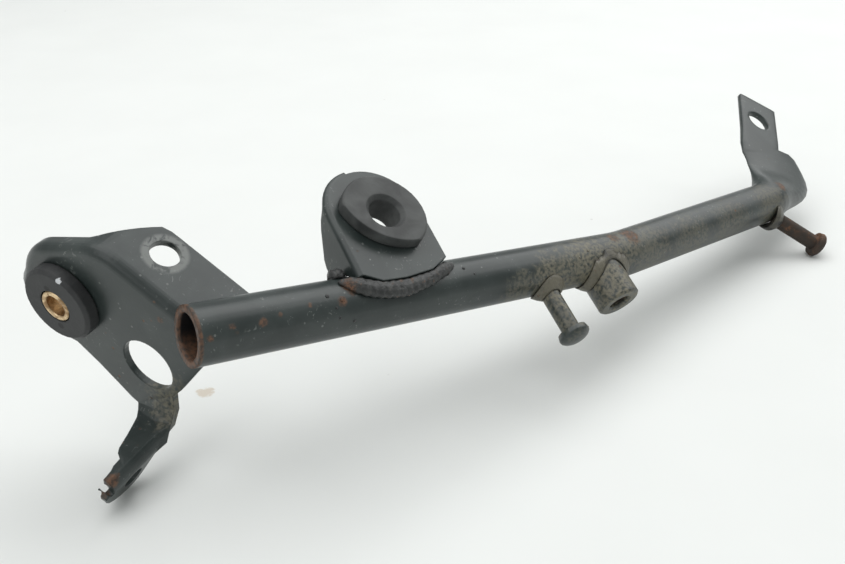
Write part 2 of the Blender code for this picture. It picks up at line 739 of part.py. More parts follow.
def build_ear_grommet(shop):
    """Thick rubber grommet in the ear, its round front trimmed to a flatter curve."""
    groove = EAR_HOLE_RADIUS - GAP
    top, under = GAP + PAD_HEIGHT, -SHEET - GAP
    bottom = under - PAD_LOWER_HEIGHT
    profile = (
        (PAD_BORE + PAD_CHAMFER, top),
        (PAD_RADIUS - PAD_RIM, top),
        (PAD_RADIUS, top - PAD_RIM),
        (PAD_RADIUS, GAP),
        (groove, GAP),
        (groove, under),
        (PAD_LOWER_RADIUS, under),
        (PAD_LOWER_RADIUS - PAD_RIM, bottom),
        (PAD_BORE, bottom),
        (PAD_BORE, top - PAD_CHAMFER),
    )
    grommet = shop.add("ear_grommet", turned("ear_grommet", profile), shop.root, "rubber")
    grommet.location = (*PAD_CENTRE, EAR_FACE)
    spin(grommet)
    front = cylinder("pad_front", PAD_FRONT_RADIUS, 2 * (PAD_HEIGHT + SHEET + PAD_LOWER_HEIGHT), 64)
    trim = shop.add_cutter("pad_front", front, shop.root)
    trim.location = (PAD_CENTRE[0] + PAD_FRONT_SHIFT[0], PAD_CENTRE[1] + PAD_FRONT_SHIFT[1], EAR_FACE)
    boolean(grommet, "INTERSECT", trim)


def stud_profile(reach):
    """Half section of a headed stud from inside the tube's wall out to its domed head."""
    root = -BEAD_SINK
    rim_low, rim_high = reach, reach + STUD_RIM
    top = reach + STUD_HEAD_HEIGHT
    dome = [
        (STUD_HEAD_RADIUS * math.cos(a), rim_high + (top - rim_high) * math.sin(a))
        for a in np.linspace(0.0, math.pi / 2, 6)
    ]
    dome[-1] = (0.0, top)
    return [
        *dome[::-1],
        (STUD_HEAD_RADIUS - STUD_UNDERCUT, rim_low),
        (STUD_RADIUS, rim_low),
        (STUD_RADIUS, root),
        (0.0, root),
    ]


def place_on_tube(obj, surface, direction):
    """Stands an object on the tube's surface, its Z axis along direction and its X along the tube."""
    turn = math.atan2(direction.y, direction.x)
    axes = Matrix.Rotation(turn + math.pi / 2, 4, "Z") @ Matrix.Rotation(math.pi / 2, 4, "X")
    obj.matrix_local = Matrix.Translation(surface) @ axes


def front_stud_seat():
    return Vector((FRONT_STUD_X, -TUBE_RADIUS, 0.0)), Vector((0.0, -1.0, 0.0))


def rear_stud_seat():
    centre, heading = tube_path(bend_2_start() + REAR_STUD_ROOT)
    right = Vector((math.sin(heading), -math.cos(heading), 0.0))
    lean = Vector((math.cos(REAR_STUD_LEAN), math.sin(REAR_STUD_LEAN), 0.0))
    return centre + right * TUBE_RADIUS, lean


def boss_seat():
    return Vector((BOSS_X, -TUBE_RADIUS, 0.0)), Vector((0.0, -1.0, 0.0))


def build_stud(shop, name, seat, reach, finish, envelope):
    stud = shop.add(name, turned(name, stud_profile(reach), closed=False), shop.root, finish)
    place_on_tube(stud, *seat)
    spin(stud)
    boolean(stud, "DIFFERENCE", envelope)


def build_boss(shop, envelope):
    """Threaded boss, coped to the tube; its bore is blind at the tube's wall."""
    root = -TUBE_RADIUS / 2
    profile = (
        (BOSS_BORE + BOSS_CHAMFER, BOSS_REACH),
        (BOSS_RADIUS - BOSS_CHAMFER, BOSS_REACH),
        (BOSS_RADIUS, BOSS_REACH - BOSS_CHAMFER),
        (BOSS_RADIUS, root),
        (0.0, root),
        (0.0, BOSS_FLOOR),
        (BOSS_BORE, BOSS_FLOOR),
        (BOSS_BORE, BOSS_REACH - BOSS_CHAMFER),
    )
    boss = shop.add("threaded_boss", turned("threaded_boss", profile, closed=True), shop.root, "paint")
    place_on_tube(boss, *boss_seat())
    spin(boss)
    boolean(boss, "DIFFERENCE", envelope)


def saddle_height(radius, angle):
    """Height of the tube's surface over its tangent plane, at a radius and an angle round a stud."""
    side = min(abs(radius * math.sin(angle)), 0.98 * TUBE_RADIUS)
    return math.sqrt(TUBE_RADIUS**2 - side**2) - TUBE_RADIUS


def ring_bead_mesh(name, inner, width, height):
    """A fillet bead round a stud, following the saddle where the stud meets the tube."""
    sections = []
    for k in range(ROUND_SIDES):
        angle = math.tau * k / ROUND_SIDES
        outer = min(inner + width, 0.97 * TUBE_RADIUS / max(abs(math.sin(angle)), 0.01))
        outer = max(outer, inner + 0.3 * width)
        low_inner = saddle_height(inner, angle)
        low_outer = saddle_height(outer, angle)
        middle = (inner + outer) / 2
        sink = BEAD_SINK * max(1.0 - (outer * math.sin(angle) / TUBE_RADIUS) ** 2, 0.0)
        profile = (
            (inner, low_inner - sink),
            (outer, low_outer - sink),
            (outer, low_outer + 0.25 * height),
            (middle, (low_inner + low_outer) / 2 + 0.72 * height),
            (inner, low_inner + height),
        )
        sections.append([Vector((r * math.cos(angle), r * math.sin(angle), z)) for r, z in profile])
    return closed_loft(name, sections)


def build_ring_bead(shop, name, seat, inner, width, height, envelope):
    bead = shop.add(name, ring_bead_mesh(name, inner + GAP, width, height), shop.root, "weld")
    place_on_tube(bead, *seat)
    boolean(bead, "DIFFERENCE", envelope)


def seam_mesh(name, start, end, centre, radius, pitch):
    """A seam bead along the tube: round sections whose radius ripples, closed at both ends."""
    count = max(int((end - start) / pitch), 4)
    rings = []
    for k in range(count + 1):
        share = k / count
        taper = math.sqrt(max(1.0 - (2.0 * share - 1.0) ** 6, 0.08))
        size = radius * taper * (1.0 + SEAM_RIPPLE * (k % 2))
        x = start + (end - start) * share
        rings.append(
            [
                Vector((x, centre[0] + size * math.cos(a), centre[1] + size * math.sin(a)))
                for a in np.linspace(0.0, math.tau, 12, endpoint=False)
            ]
        )
    return loft(name, rings)


def path_bead_mesh(name, stations):
    """A rippled bead through stations of centre, half width along Y and half height along Z."""
    table = np.array(stations) * MM
    count = int((table[-1, 0] - table[0, 0]) / SEAM_PITCH)
    rings = []
    for k, x in enumerate(np.linspace(table[0, 0], table[-1, 0], count)):
        y, z, wide, high = (float(np.interp(x, table[:, 0], table[:, i])) for i in range(1, 5))
        ripple = 1.0 + SEAM_RIPPLE * (k % 2)
        rings.append(
            [
                Vector((x, y + wide * ripple * math.cos(a), z + high * ripple * math.sin(a)))
                for a in np.linspace(0.0, math.tau, 14, endpoint=False)
            ]
        )
    return loft(name, rings)


def ear_clearance_mesh():
    """Prism round the ear, as far as its face, for its welds to stop at."""
    low = [(x * MM, y * MM - GAP) for x, y in EAR_BOTTOM]
    start = EAR_FLANGE[0][0] * MM - GAP
    right = (EAR_RIGHT + GAP, low[0][1])
    corners = [(EAR_RIGHT + GAP, EAR_TOP), right, *low, (EAR_LEFT - GAP, start), (EAR_LEFT - GAP, EAR_TOP)]
    sides = [[Vector((*corner, z)) for corner in corners] for z in (-2 * TUBE_RADIUS, EAR_FACE + GAP)]
    return loft("ear_clearance", sides)


def build_ear_welds(shop, envelope):
    """The long seam along the ear's lower edge and the short bead at the foot of its flange."""
    clearance = shop.add_cutter("ear_clearance", ear_clearance_mesh(), shop.root)
    seam = shop.add("ear_weld", path_bead_mesh("ear_weld", EAR_SEAM), shop.root, "weld")
    reach = 2.2 * SEAM_RADIUS
    foot_centre = (TUBE_RADIUS - FLANGE_WELD_DEPTH, TUBE_RADIUS / 2)
    mesh = seam_mesh("flange_weld", EAR_LEFT - reach, EAR_LEFT, foot_centre, SEAM_RADIUS, FLANGE_WELD_PITCH)
    foot = shop.add("flange_weld", mesh, shop.root, "weld")
    seam_bounds = block(
        "seam_side",
        (0.0, -TUBE_RADIUS, FLANGE_WELD_TOP),
        (2 * EAR_LEFT, 2 * TUBE_RADIUS, 2 * TUBE_RADIUS),
    )
    boolean(seam, "DIFFERENCE", envelope)
    boolean(seam, "DIFFERENCE", clearance)
    boolean(foot, "DIFFERENCE", envelope)
    boolean(foot, "DIFFERENCE", clearance)
    boolean(foot, "DIFFERENCE", shop.add_cutter("seam_side", seam_bounds, shop.root))


def build_plate_weld(shop, envelope):
    """Seam between the fin and the tube, lying on the fin."""
    radius = 0.75 * SEAM_RADIUS
    surface_y = math.sqrt(TUBE_RADIUS**2 - PLATE_DROP**2)
    end = PLATE_WELD_START + PLATE_WELD_SHARE * FIN_DEPTH
    centre = (surface_y, -PLATE_DROP)
    mesh = seam_mesh("plate_weld", PLATE_WELD_START, end, centre, radius, PLATE_WELD_PITCH)
    seam = shop.add("plate_weld", mesh, shop.root, "weld")
    floor = block(
        "fin_clearance",
        (-2 * FIN_DEPTH, -FIN_DEPTH, -PLATE_DROP - 6 * SHEET),
        (2 * FIN_DEPTH, 2 * FIN_DEPTH, GAP - PLATE_DROP),
    )
    boolean(seam, "DIFFERENCE", envelope)
    boolean(seam, "DIFFERENCE", shop.add_cutter("fin_clearance", floor, shop.root))


def foot_contact(up):
    """The lowest point of the foot tab's outline, in the bracket's frame."""
    frame = plate_matrix()
    corners = [frame @ (Vector((FOOT_FACE / MM, *corner)) * MM) for corner in FOOT_OUTLINE]
    return min(corners, key=up.dot)


def stud_contact(up):
    """The lowest point of the rear stud's head."""
    surface, lean = rear_stud_seat()
    down = -(up - lean * up.dot(lean)).normalized()
    return surface + lean * (REAR_STUD_REACH + STUD_RIM) + down * STUD_HEAD_RADIUS


def resting_up():
    """The floor's normal in the bracket's frame: given roll, with the foot and the rear stud level."""
    up = Vector((0.0, math.sin(REST_ROLL), math.cos(REST_ROLL)))
    for _ in range(6):
        span = stud_contact(up) - foot_contact(up)
        up.x = -(span.y * up.y + span.z * up.z) / span.x
        up.normalize()
    return up


def stand_on_floor(shop):
    """Turns the bracket to its rest and brings the middle of its footprint to the origin."""
    up = resting_up()
    tail, _ = tube_path(bend_2_start())
    along = (tail - up * tail.dot(up)).normalized()
    turn = Matrix((along, up.cross(along), up)).to_4x4()
    shop.root.matrix_world = turn
    bpy.context.view_layer.update()
    graph = bpy.context.evaluated_depsgraph_get()
    corners = []
    for obj in shop.parts.objects:
        if obj.type != "MESH":
            continue
        evaluated = obj.evaluated_get(graph)
        points = np.empty(len(evaluated.data.vertices) * 3)
        evaluated.data.vertices.foreach_get("co", points)
        world = np.array(evaluated.matrix_world)
        corners.append(points.reshape(-1, 3) @ world[:3, :3].T + world[:3, 3])
    cloud = np.vstack(corners)
    low, high = cloud.min(axis=0), cloud.max(axis=0)
    shift = Vector((-(low[0] + high[0]) / 2, -(low[1] + high[1]) / 2, -low[2]))
    shop.root.matrix_world = Matrix.Translation(shift) @ turn
    bpy.context.view_layer.update()


def build_bracket():
    clear_scene()
    shop = Workshop()
    envelope = build_envelope(shop, "tube_envelope", GAP, -3 * TUBE_RADIUS)
    build_tube(shop)
    build_side_plate(shop, envelope)
    build_side_grommet(shop)
    build_ear(shop, envelope)
    build_ear_grommet(shop)
    build_stud(shop, "front_hook_stud", front_stud_seat(), FRONT_STUD_REACH, "paint", envelope)
    build_stud(shop, "rear_hook_stud", rear_stud_seat(), REAR_STUD_REACH, "rusty_steel", envelope)
    build_boss(shop, envelope)
    build_ring_bead(shop, "front_stud_weld", front_stud_seat(), STUD_RADIUS, BEAD_WIDTH, BEAD_HEIGHT, envelope)
    build_ring_bead(shop, "rear_stud_weld", rear_stud_seat(), STUD_RADIUS, BEAD_WIDTH, BEAD_HEIGHT, envelope)
    build_ring_bead(shop, "boss_weld", boss_seat(), BOSS_RADIUS, BEAD_WIDTH, BEAD_HEIGHT, envelope)
    build_ear_welds(shop, envelope)
    build_plate_weld(shop, envelope)
    stand_on_floor(shop)


build_bracket()
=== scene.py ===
"""Studio scene of the taillight bracket: finishes for the fixed frame, small added details and the studio.

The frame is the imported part. Positions on it are given in the bracket's own frame, in millimetres: +X along
the tube from its open end, +Y towards the ear, +Z to the outer side. BRACKET takes them to the row frame.
"""

import logging
import math
from dataclasses import dataclass, field
from enum import Enum
from functools import reduce
from typing import Any, Sequence, Union

import bpy
import numpy as np
from mathutils import Matrix, Vector


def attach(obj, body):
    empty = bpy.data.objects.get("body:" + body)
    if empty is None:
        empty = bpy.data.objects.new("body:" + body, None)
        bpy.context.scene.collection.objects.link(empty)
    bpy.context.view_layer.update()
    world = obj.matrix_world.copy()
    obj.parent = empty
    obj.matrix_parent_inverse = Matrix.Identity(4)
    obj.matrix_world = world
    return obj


logging.basicConfig(level=logging.INFO, format="%(name)s: %(message)s")
LOG = logging.getLogger("taillight_bracket")

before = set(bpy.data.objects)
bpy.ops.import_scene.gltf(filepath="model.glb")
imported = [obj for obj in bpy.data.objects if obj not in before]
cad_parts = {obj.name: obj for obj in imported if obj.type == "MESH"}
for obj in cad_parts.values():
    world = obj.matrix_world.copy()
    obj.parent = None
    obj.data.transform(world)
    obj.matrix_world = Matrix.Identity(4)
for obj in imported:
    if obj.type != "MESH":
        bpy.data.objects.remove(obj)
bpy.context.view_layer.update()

Point = tuple[float, float, float]
Colour = tuple[float, float, float]
Band = tuple[float, float]
Number = Union[float, "Value"]

MM = 0.001
BRACKET = Matrix(
    (
        (0.98635, 0.11577, 0.11705, -0.14117),
        (-0.03734, 0.84978, -0.52581, -0.01656),
        (-0.16034, 0.51427, 0.84251, 0.05353),
        (0.0, 0.0, 0.0, 1.0),
    )
)

# The photograph's camera in the bracket's frame. Its lens and sensor are in mm, its clipping in metres.
CAMERA_RIGHT = Vector((0.7999, -0.4359, 0.4126))
CAMERA_DOWN = Vector((-0.1458, -0.8079, -0.5710))
CAMERA_FORWARD = Vector((0.5822, 0.3966, -0.7097))
CAMERA_PLACE = Vector((-83.66, -103.89, 191.75))
CAMERA_LENS = 39.41
SENSOR_WIDTH = 36.0
CLIP_START = 0.01

# Sizes of the tube and the side plate, from the part's source, and the way down as the part lies
TUBE_RADIUS = 8.0
TUBE_END: Point = (0.0, 0.0, 0.0)
TUBE_DIRECTION: Point = (1.0, 0.0, 0.0)
WAY_DOWN: Point = (0.0, -0.5, -0.86)
PLATE_ANGLE = math.radians(120.81)
PLATE_OFFSET = 4.51
PLATE_DROP = 2.21
FIN_HOLE = (20.77, 12.48)


def place(point: Sequence[float]) -> Vector:
    """Takes a point of the bracket's frame to the row frame.

    Args:
        point: position in the bracket's frame, in millimetres.

    Returns:
        The position in the row frame, in metres.
    """
    return BRACKET @ (Vector(point) * MM)


def place_all(points: np.ndarray) -> np.ndarray:
    """Takes an array of points of the bracket's frame to the row frame.

    Args:
        points: positions in the bracket's frame, in millimetres, a row for each.

    Returns:
        The positions in the row frame, in metres.
    """
    matrix = np.array(BRACKET)
    return points * MM @ matrix[:3, :3].T + matrix[:3, 3]


def turn(direction: Sequence[float]) -> Vector:
    """Turns a direction of the bracket's frame into the row frame.

    Args:
        direction: direction in the bracket's frame.

    Returns:
        The unit direction in the row frame.
    """
    return (BRACKET.to_3x3() @ Vector(direction)).normalized()


def fin_hole_centre() -> Point:
    """Centre of the fin's hole in the bracket's frame.

    Returns:
        The point, in millimetres.
    """
    along = Vector((math.cos(PLATE_ANGLE), math.sin(PLATE_ANGLE), 0.0))
    out = along.cross(Vector((0.0, 0.0, -1.0)))
    corner = -out * PLATE_OFFSET + Vector((0.0, 0.0, -PLATE_DROP))
    return tuple(corner + along * FIN_HOLE[0] - out * FIN_HOLE[1])


@dataclass(frozen=True)
class Mark:
    """A patch of rust, grime or wear: its place in the bracket's frame and its size in mm, its strength."""

    at: Point
    size: float
    strength: float


@dataclass(frozen=True)
class Pattern:
    """Smooth noise: the size of its patches in mm, its number of finer layers and how distorted it is."""

    size: float
    detail: float = 3.0
    warp: float = 0.0


@dataclass(frozen=True)
class Spots:
    """Small round spots in some zones only.

    The spacing of their centres is in mm. The edge is the band of distance from a centre over which a spot
    fades in, as a share of the spacing. The zones are where the zone's pattern is past its band.
    """

    spacing: float
    edge: Band
    zone: Pattern
    zone_band: Band


class Value:
    """A number socket of a shader, with arithmetic: each operator adds its Math nodes."""

    def __init__(self, net: "NodeTree", socket: bpy.types.NodeSocket) -> None:
        """Wraps a socket of a node tree."""
        self.net = net
        self.socket = socket

    def math(self, operation: str, *others: Number) -> "Value":
        """Adds a Math node on this value.

        Args:
            operation: the node's operation.
            others: its further inputs.

        Returns:
            The node's result.
        """
        node = self.net.node("ShaderNodeMath", dict(enumerate((self, *others))), operation=operation)
        return Value(self.net, node.outputs[0])

    def __add__(self, other: Number) -> "Value":
        """The sum."""
        return self.math("ADD", other)

    def __sub__(self, other: Number) -> "Value":
        """The difference."""
        return self.math("SUBTRACT", other)

    def __rsub__(self, other: Number) -> "Value":
        """The difference with this value on the right."""
        return self.math("MULTIPLY", -1.0).math("ADD", other)

    def __mul__(self, other: Number) -> "Value":
        """The product."""
        return self.math("MULTIPLY", other)

    __radd__ = __add__
    __rmul__ = __mul__

    def either(self, other: Number) -> "Value":
        """The larger of this value and another."""
        return self.math("MAXIMUM", other)

    def sway(self, amount: float) -> "Value":
        """This noise as a swing about zero, with the given width."""
        return (self - 0.5) * amount

    def around(self, middle: float, spread: float) -> "Value":
        """This noise as a swing about a middle, with the given width."""
        return self * spread + (middle - 0.5 * spread)

    def step(self, band: Band) -> "Value":
        """Smooth step from zero to one.

        Args:
            band: where the result is zero, and where it is one. The second may be the lower.

        Returns:
            The result, between zero and one.
        """
        start, end = band
        low, high = (0.0, 1.0) if start < end else (1.0, 0.0)
        inputs = {"Value": self, "From Min": min(band), "From Max": max(band), "To Min": low, "To Max": high}
        node = self.net.node("ShaderNodeMapRange", inputs, interpolation_type="SMOOTHSTEP")
        return Value(self.net, node.outputs["Result"])


class NodeTree:
    """The nodes of a material or the world, with one method that makes any of them."""

    def __init__(self, owner: Union[bpy.types.Material, bpy.types.World]) -> None:
        """Turns on the nodes of a new material or world and keeps their tree."""
        owner.use_nodes = True
        self.tree = owner.node_tree

    def feed(self, target: bpy.types.NodeSocket, item: Any) -> None:
        """Links a value or a socket to an input, or sets the input's constant.

        Args:
            target: the input.
            item: a Value, a socket, a colour or another constant.
        """
        if isinstance(item, Value):
            item = item.socket
        if isinstance(item, bpy.types.NodeSocket):
            self.tree.links.new(item, target)
        elif target.type == "RGBA":
            target.default_value = (*item, 1.0)
        else:
            target.default_value = item

    def node(self, kind: str, inputs: dict[Any, Any], **settings: Any) -> bpy.types.Node:
        """Makes any node.

        Args:
            kind: the node's type.
            inputs: what goes into its inputs, by name or number.
            settings: its properties.

        Returns:
            The node.
        """
        made = self.tree.nodes.new(kind)
        for key, setting in settings.items():
            setattr(made, key, setting)
        for key, item in inputs.items():
            self.feed(made.inputs[key], item)
        return made


class Net(NodeTree):
    """The nodes of one material, with helpers for the patterns that the finishes share."""

    patch_core: float = 0.35
    patch_sway: float = 1.6
    rounding_samples: int = 8

    def __init__(self, name: str) -> None:
        """Starts a material.

        Args:
            name: the material's name.
        """
        self.material = bpy.data.materials.new(name)
        super().__init__(self.material)
        self.shader = self.tree.nodes["Principled BSDF"]
        self.point = self.node("ShaderNodeTexCoord", {}).outputs["Object"]

    def noise(self, pattern: Pattern) -> Value:
        """Smooth noise over the surface.

        Args:
            pattern: how the noise looks.

        Returns:
            The noise, about 0.5 in the middle.
        """
        scale = 1.0 / (pattern.size * MM)
        inputs = {"Vector": self.point, "Scale": scale, "Detail": pattern.detail, "Distortion": pattern.warp}
        return Value(self, self.node("ShaderNodeTexNoise", inputs).outputs[0])

    def spots(self, spots: Spots) -> Value:
        """Small round spots, such as pits and chips.

        Args:
            spots: how the spots look.

        Returns:
            One on a spot, zero off it.
        """
        inputs = {"Vector": self.point, "Scale": 1.0 / (spots.spacing * MM)}
        distance = Value(self, self.node("ShaderNodeTexVoronoi", inputs).outputs["Distance"])
        return distance.step(spots.edge) * self.noise(spots.zone).step(spots.zone_band)

    def vector(self, operation: str, *items: Any) -> bpy.types.Node:
        """Makes a Vector Math node.

        Args:
            operation: its operation.
            items: its inputs, in order.

        Returns:
            The node.
        """
        return self.node("ShaderNodeVectorMath", dict(enumerate(items)), operation=operation)

    def length(self, node: bpy.types.Node) -> Value:
        """A Vector Math node's result in metres as a value in millimetres."""
        return Value(self, node.outputs["Value"]) * (1.0 / MM)

    def away(self, spot: Sequence[float]) -> Value:
        """Distance in millimetres from a point of the row frame in metres."""
        return self.length(self.vector("DISTANCE", self.point, tuple(spot)))

    def from_origin(self, origin: Sequence[float]) -> bpy.types.NodeSocket:
        """Way from a point of the bracket's frame in millimetres to the surface, as a vector in metres."""
        return self.vector("SUBTRACT", self.point, tuple(place(origin))).outputs[0]

    def along(self, origin: Sequence[float], direction: Sequence[float]) -> Value:
        """Coordinate along a direction of the bracket's frame.

        Args:
            origin: where the coordinate is zero, in millimetres.
            direction: the direction.

        Returns:
            The coordinate, in millimetres.
        """
        return self.length(self.vector("DOT_PRODUCT", self.from_origin(origin), tuple(turn(direction))))

    def from_line(self, origin: Sequence[float], direction: Sequence[float]) -> Value:
        """Distance from an endless line of the bracket's frame: the length of a cross product.

        Args:
            origin: a point of the line, in millimetres.
            direction: the line's direction.

        Returns:
            The distance, in millimetres.
        """
        crossed = self.vector("CROSS_PRODUCT", self.from_origin(origin), tuple(turn(direction)))
        return self.length(self.vector("LENGTH", crossed.outputs[0]))

    def patches(self, marks: Sequence[Mark], ragged: Value) -> Value:
        """Soft round patches at measured places, with ragged edges.

        Args:
            marks: the places, sizes and strengths.
            ragged: noise that breaks up the edges.

        Returns:
            The strongest patch at each point.
        """
        shares = []
        for mark in marks:
            reach = self.away(place(mark.at)) + ragged.sway(self.patch_sway * mark.size)
            shares.append(reach.step((mark.size, self.patch_core * mark.size)) * mark.strength)
        return reduce(Value.either, shares)

    def blend(self, share: Number, first: Any, second: Any) -> bpy.types.NodeSocket:
        """Mixes two colours.

        Args:
            share: how much of the second.
            first: a colour or a colour socket.
            second: a colour or a colour socket.

        Returns:
            The mixed colour's socket.
        """
        inputs = {0: share, 6: first, 7: second}
        return self.node("ShaderNodeMix", inputs, data_type="RGBA", clamp_factor=True).outputs[2]

    def finish(
        self,
        colour: Any,
        roughness: Number,
        height: Value,
        relief: float,
        rounding: float = 0.0,
        metallic: float = 0.0,
    ) -> bpy.types.Material:
        """Feeds the shader.

        Args:
            colour: base colour, or its socket.
            roughness: the roughness.
            height: relief between zero and one, for the bump.
            relief: the relief's real height, in mm.
            rounding: radius over which edges and facets are shaded round, in mm.
            metallic: the metalness.

        Returns:
            The finished material.
        """
        bump = self.node("ShaderNodeBump", {"Height": height, "Distance": relief * MM, "Strength": 1.0})
        if rounding:
            bevel = self.node("ShaderNodeBevel", {"Radius": rounding * MM}, samples=self.rounding_samples)
            self.feed(bump.inputs["Normal"], bevel.outputs["Normal"])
        inputs = {
            "Base Color": colour,
            "Roughness": roughness,
            "Metallic": metallic,
            "Normal": bump.outputs["Normal"],
        }
        for key, item in inputs.items():
            self.feed(self.shader.inputs[key], item)
        return self.material


RUST = (0.165, 0.078, 0.040)
DARK_RUST = (0.055, 0.033, 0.021)
GRIME = (0.175, 0.160, 0.115)
PALE_WEAR = (0.20, 0.21, 0.20)
RAGGED = Pattern(2.4, 6.0, 0.8)

RUST_MARKS = (
    Mark((258.0, 13.5, 7.0), 3.4, 0.8),
    Mark((157.0, 2.6, 7.6), 4.2, 0.8),
    Mark((149.0, 3.0, 7.4), 3.2, 0.6),
    Mark((44.5, 1.5, 7.9), 3.0, 0.9),
    Mark((40.5, -2.4, 7.6), 1.8, 0.9),
    Mark((5.0, -5.0, -36.0), 2.2, 0.6),
    Mark((2.6, -5.2, 6.0), 1.2, 0.8),
    Mark((8.5, -3.5, 7.1), 1.1, 0.7),
    Mark((16.8, -3.7, 7.0), 1.5, 0.7),
    Mark((22.0, -2.9, 7.4), 0.9, 0.6),
    Mark((30.8, -1.6, 7.8), 1.0, 0.7),
    Mark((-15.1, -14.1, -43.8), 2.6, 0.9),
    Mark((-17.5, -16.0, -47.0), 2.2, 0.7),
    Mark((-1.3, 11.0, -8.8), 1.4, 0.5),
)
GRIME_MARKS = (
    Mark((4.5, 0.5, -38.1), 9.0, 0.75),
    Mark((3.8, 2.4, -29.8), 6.5, 0.55),
    Mark((133.0, -5.5, 5.5), 15.0, 0.9),
    Mark((118.0, -7.5, 2.0), 13.0, 0.9),
    Mark((104.0, -7.6, 2.0), 9.0, 0.5),
    Mark((150.0, -3.0, 7.4), 12.0, 0.7),
    Mark((143.0, -14.0, 3.0), 14.0, 0.9),
    Mark((117.0, -20.0, 1.0), 8.0, 0.6),
    Mark((165.0, -5.0, 5.0), 16.0, 0.5),
    Mark((190.0, -4.0, 4.0), 16.0, 0.45),
    Mark((216.0, -1.0, 4.0), 16.0, 0.4),
    Mark((245.0, 6.0, 6.0), 14.0, 0.5),
)


@dataclass(frozen=True)
class PaintFinish:
    """Worn semi-gloss black paint, with rust, grime, chips and pits at the places where the part shows them.

    A band is where a pattern starts to show and where it shows in full, a share is how much of it shows.
    """

    name: str = "worn_black_paint"
    base: Colour = (0.019, 0.0265, 0.0255)
    faded: Colour = (0.040, 0.050, 0.048)
    fade_band: Band = (0.35, 0.75)
    rust_band: Band = (0.35, 0.65)
    cloud: Pattern = Pattern(14.0, 5.0, 0.4)
    grain: Pattern = Pattern(1.1, 4.0)
    fine: Pattern = Pattern(0.35, 2.0)
    pits: Spots = Spots(5.5, (0.13, 0.05), Pattern(20.0), (0.52, 0.60))
    pit_rust: float = 0.9
    chips: Spots = Spots(2.6, (0.17, 0.09), Pattern(9.0), (0.53, 0.62))
    scuffs: Pattern = Pattern(3.0, 8.0, 3.0)
    scuff_band: Band = (0.63, 0.70)
    scuff_zone_band: Band = (0.45, 0.60)
    scuff_share: float = 0.55
    grime_band: Band = (0.30, 0.62)
    hole_wear_reach: Band = (6.9, 5.6)
    hole_wear_band: Band = (0.34, 0.52)
    hole_wear_share: float = 0.7
    roughness: float = 0.32
    roughness_spread: float = 0.14
    grime_roughness: float = 0.25
    rust_roughness: float = 0.35
    wear_roughness: float = 0.15
    relief: float = 0.05
    grain_height: float = 0.25
    fine_height: float = 0.12
    rust_height: float = 0.9
    pit_depth: float = 0.8
    rounding: float = 0.6

    def build(self) -> bpy.types.Material:
        """Builds the material.

        Returns:
            The material.
        """
        net = Net(self.name)
        cloud, grain, fine = net.noise(self.cloud), net.noise(self.grain), net.noise(self.fine)
        ragged = net.noise(RAGGED)
        pits = net.spots(self.pits)
        scuffs = net.noise(self.scuffs).step(self.scuff_band) * cloud.step(self.scuff_zone_band)
        ring = net.away(place(fin_hole_centre())).step(self.hole_wear_reach)
        worn = ring * ragged.step(self.hole_wear_band) * self.hole_wear_share
        grime = net.patches(GRIME_MARKS, ragged) * grain.step(self.grime_band)
        rust = net.patches(RUST_MARKS, ragged).either(pits * self.pit_rust)
        colour = net.blend(cloud.step(self.fade_band), self.base, self.faded)
        colour = net.blend(scuffs.either(net.spots(self.chips)) * self.scuff_share, colour, PALE_WEAR)
        colour = net.blend(worn, colour, PALE_WEAR)
        colour = net.blend(grime, colour, GRIME)
        colour, rust = self.dress_bore(net, ragged, colour, rust)
        colour = net.blend(rust, colour, net.blend(grain.step(self.rust_band), DARK_RUST, RUST))
        rough = cloud.around(self.roughness, self.roughness_spread) + grime * self.grime_roughness
        rough = rough + rust * self.rust_roughness + worn * self.wear_roughness
        height = grain * self.grain_height + fine * self.fine_height
        height = height + rust * (ragged * self.rust_height) - pits * self.pit_depth
        return net.finish(colour, rough, height, self.relief, self.rounding)

    def dress_bore(
        self, net: Net, ragged: Value, colour: bpy.types.NodeSocket, rust: Value
    ) -> tuple[bpy.types.NodeSocket, Value]:
        """Leaves a piece without a bore as it is.

        Args:
            net: the material's net.
            ragged: noise for ragged edges.
            colour: the colour so far.
            rust: the rust so far.

        Returns:
            The colour and the rust.
        """
        return colour, rust


@dataclass(frozen=True)
class TubePaintFinish(PaintFinish):
    """The same paint for the tube, with painted shade darkening its bore, and rust on its rim and mouth."""

    name: str = "worn_black_tube_paint"
    rounding: float = 1.7
    # The bore's darker colour is painted shade, not the paint's own colour.
    bore_painted_shade: Colour = (0.012, 0.012, 0.013)
    bore_radius: Band = (7.0, 6.5)
    bore_depth: Band = (140.0, 100.0)
    rim_depth: Band = (1.1, 0.5)
    rim_band: Band = (0.25, 0.50)
    mouth_depth: Band = (14.0, 3.0)
    mouth_side: Band = (1.0, 6.0)
    bore_rust: float = 0.8

    def dress_bore(
        self, net: Net, ragged: Value, colour: bpy.types.NodeSocket, rust: Value
    ) -> tuple[bpy.types.NodeSocket, Value]:
        """Paints shade into the bore as a darker colour, and rusts its rim and the lower side of its mouth.

        Args:
            net: the material's net.
            ragged: noise for ragged edges.
            colour: the colour so far.
            rust: the rust so far.

        Returns:
            The colour and the rust.
        """
        depth = net.along(TUBE_END, TUBE_DIRECTION)
        bore = net.from_line(TUBE_END, TUBE_DIRECTION).step(self.bore_radius) * depth.step(self.bore_depth)
        rim = depth.step(self.rim_depth) * ragged.step(self.rim_band)
        lower = net.along(TUBE_END, WAY_DOWN).step(self.mouth_side)
        mouth = bore * lower * depth.step(self.mouth_depth)
        rust = rust.either(rim.either(mouth) * self.bore_rust)
        # Painted shade: the bore is blended towards the darker colour.
        return net.blend(bore, colour, self.bore_painted_shade), rust


